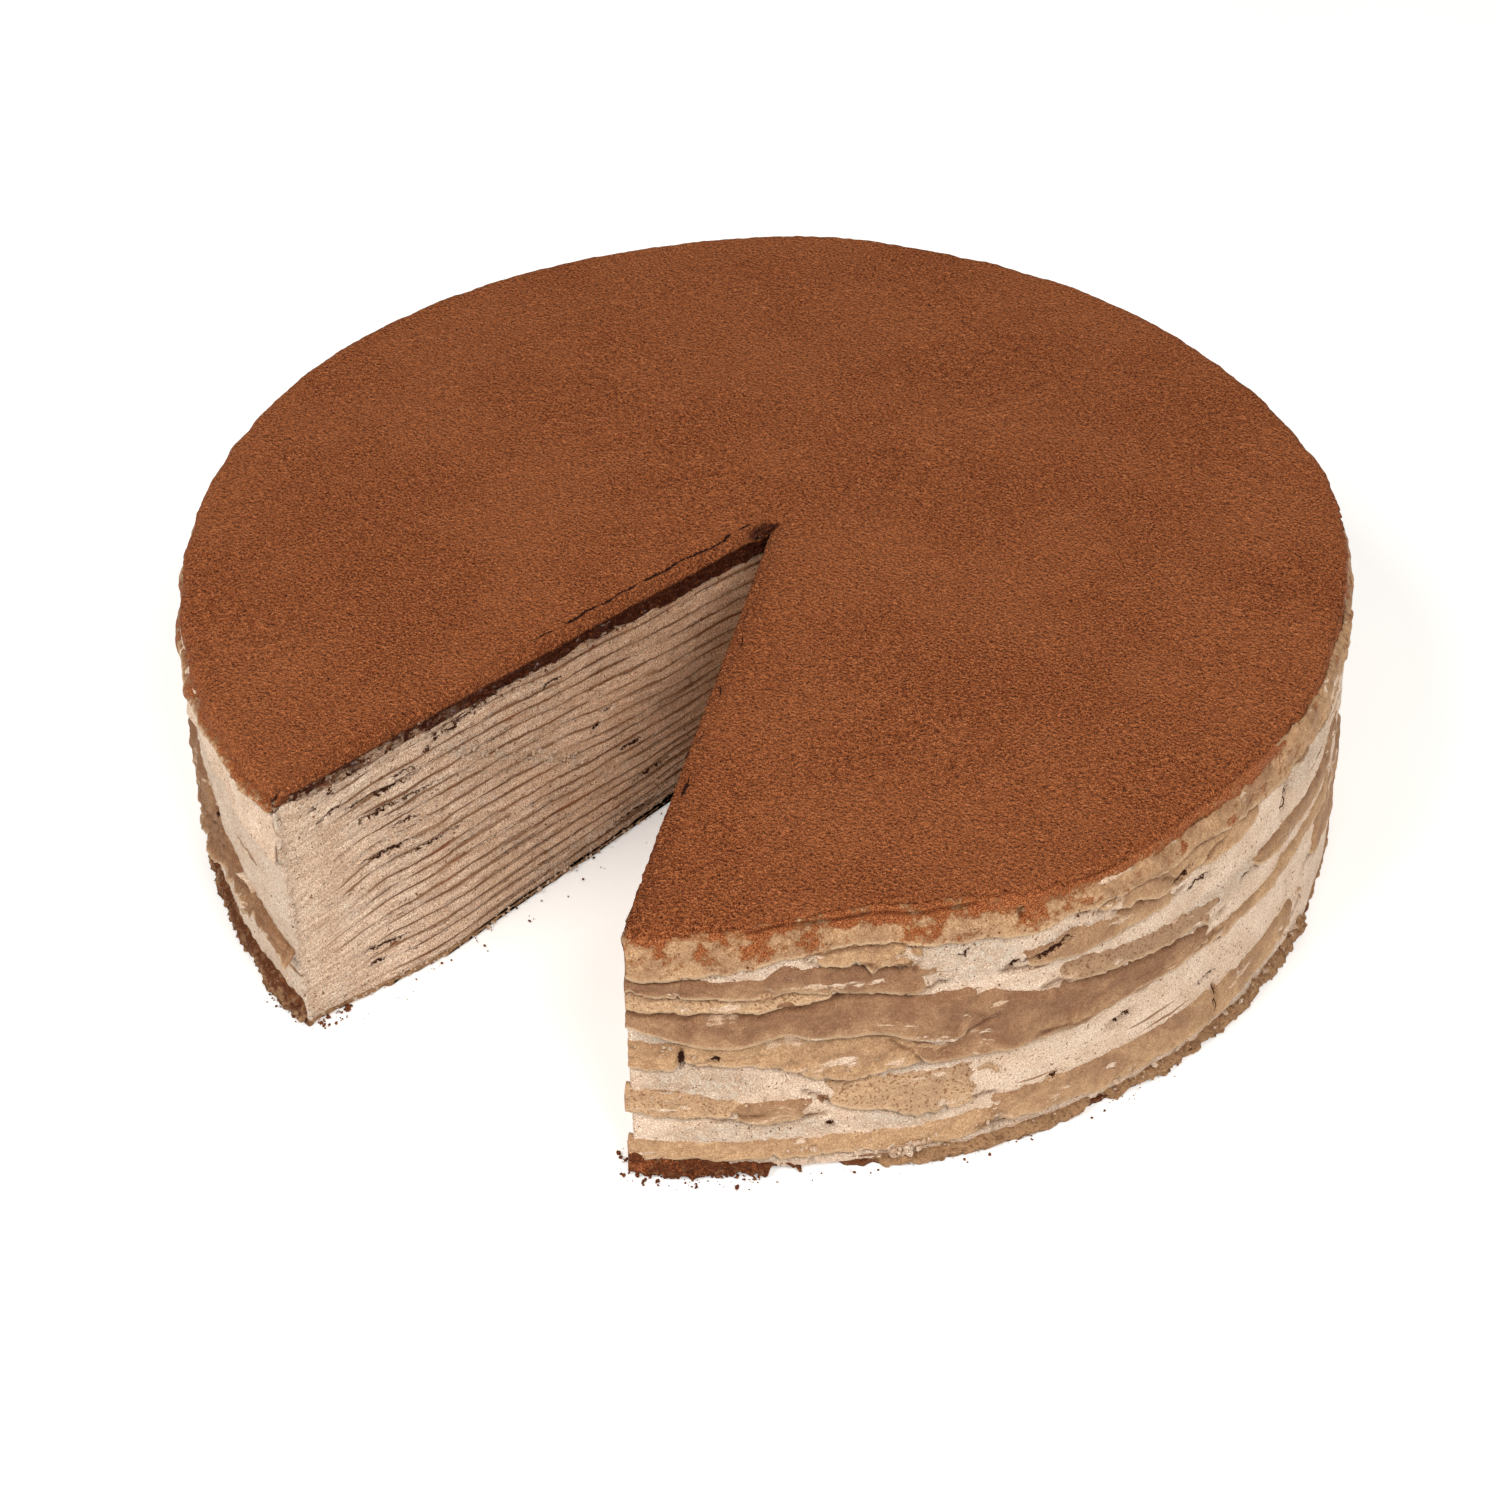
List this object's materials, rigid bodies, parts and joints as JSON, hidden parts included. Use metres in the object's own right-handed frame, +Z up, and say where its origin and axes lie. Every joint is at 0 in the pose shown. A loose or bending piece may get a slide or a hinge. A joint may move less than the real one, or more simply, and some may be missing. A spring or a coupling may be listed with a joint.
{
  "type": "crepe cake",
  "caption": "Round cake of thin crepes and cream under cocoa powder, with one slice cut out; stands on its flat base.",
  "frame": {"origin": "middle of the cake's box, on the surface that it stands on", "axes": "+Z up; the missing slice opens towards -Y; +X to the right when looking into the gap along +Y"},
  "size_m": [0.233, 0.2254, 0.0593],
  "materials": {
    "cocoa_powder": "dry matt powder",
    "moist_chocolate": "moist, dark, slightly glossy crumb",
    "crepe": "soft browned crepe, satin",
    "base_crepe": "well browned crepe, matt and crumbly",
    "cream": "soft set cream, satin"
  },
  "bodies": {
    "root": {"cocoa_top": "cocoa_powder", "chocolate_crepe": "moist_chocolate", "cream_19": "cream", "crepe_19": "crepe", "cream_18": "cream", "crepe_18": "crepe", "cream_17": "cream", "crepe_17": "crepe", "cream_16": "cream", "crepe_16": "crepe", "cream_15": "cream", "crepe_15": "crepe", "cream_14": "cream", "crepe_14": "crepe", "cream_13": "cream", "crepe_13": "crepe", "cream_12": "cream", "crepe_12": "crepe", "cream_11": "cream", "crepe_11": "crepe", "cream_10": "cream", "crepe_10": "crepe", "cream_09": "cream", "crepe_09": "crepe", "cream_08": "cream", "crepe_08": "crepe", "cream_07": "cream", "crepe_07": "crepe", "cream_06": "cream", "crepe_06": "crepe", "cream_05": "cream", "crepe_05": "crepe", "cream_04": "cream", "crepe_04": "crepe", "cream_03": "cream", "crepe_03": "crepe", "cream_02": "cream", "crepe_02": "crepe", "cream_01": "cream", "crepe_01": "base_crepe"}
  },
  "joints": []
}
